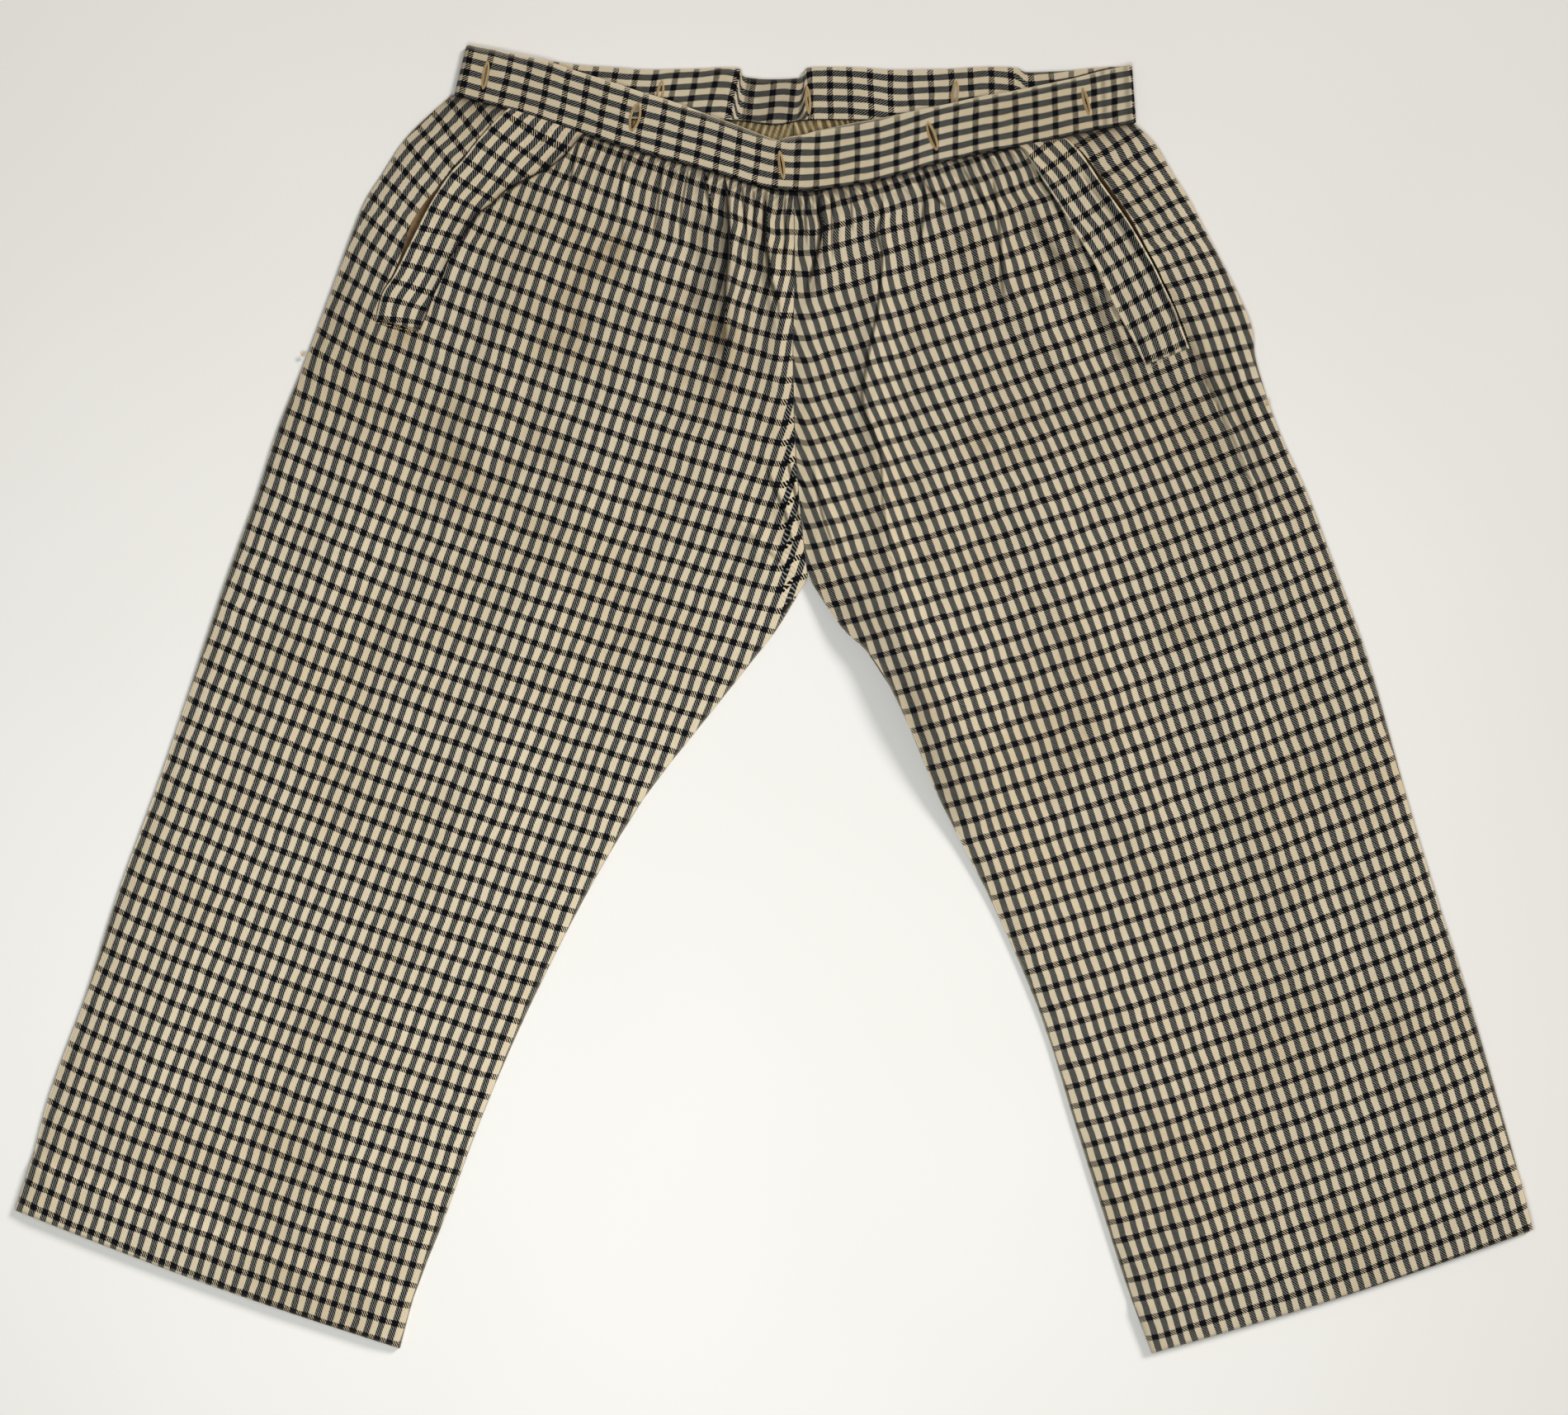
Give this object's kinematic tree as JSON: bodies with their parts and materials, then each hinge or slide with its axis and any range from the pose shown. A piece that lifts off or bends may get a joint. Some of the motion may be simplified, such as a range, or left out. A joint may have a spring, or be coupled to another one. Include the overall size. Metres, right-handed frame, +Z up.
{
  "type": "cropped trousers laid flat",
  "caption": "Cropped wide-leg trousers in checked cotton twill, laid flat, with a buttonholed waistband over fine gathers and slanted welt pockets.",
  "frame": {"origin": "centre of the bounding box, on the surface that the garment lies on", "axes": "+X across the garment, +Y from the hems to the waistband, +Z up off the surface, out of the front"},
  "size_m": [0.918, 0.791, 0.0158],
  "materials": {
    "check_twill": "matte cream cotton twill with a small navy check",
    "band_twill": "the same check turned along the band",
    "tan_twill": "matte tan cotton, thread and facing"
  },
  "bodies": {
    "root": {"back_leg_left": "check_twill", "front_leg_left": "check_twill", "pocket_facing_left": "tan_twill", "pocket_welt_left": "check_twill", "back_leg_right": "check_twill", "front_leg_right": "check_twill", "pocket_facing_right": "tan_twill", "pocket_welt_right": "check_twill", "waistband": "band_twill"}
  },
  "joints": []
}
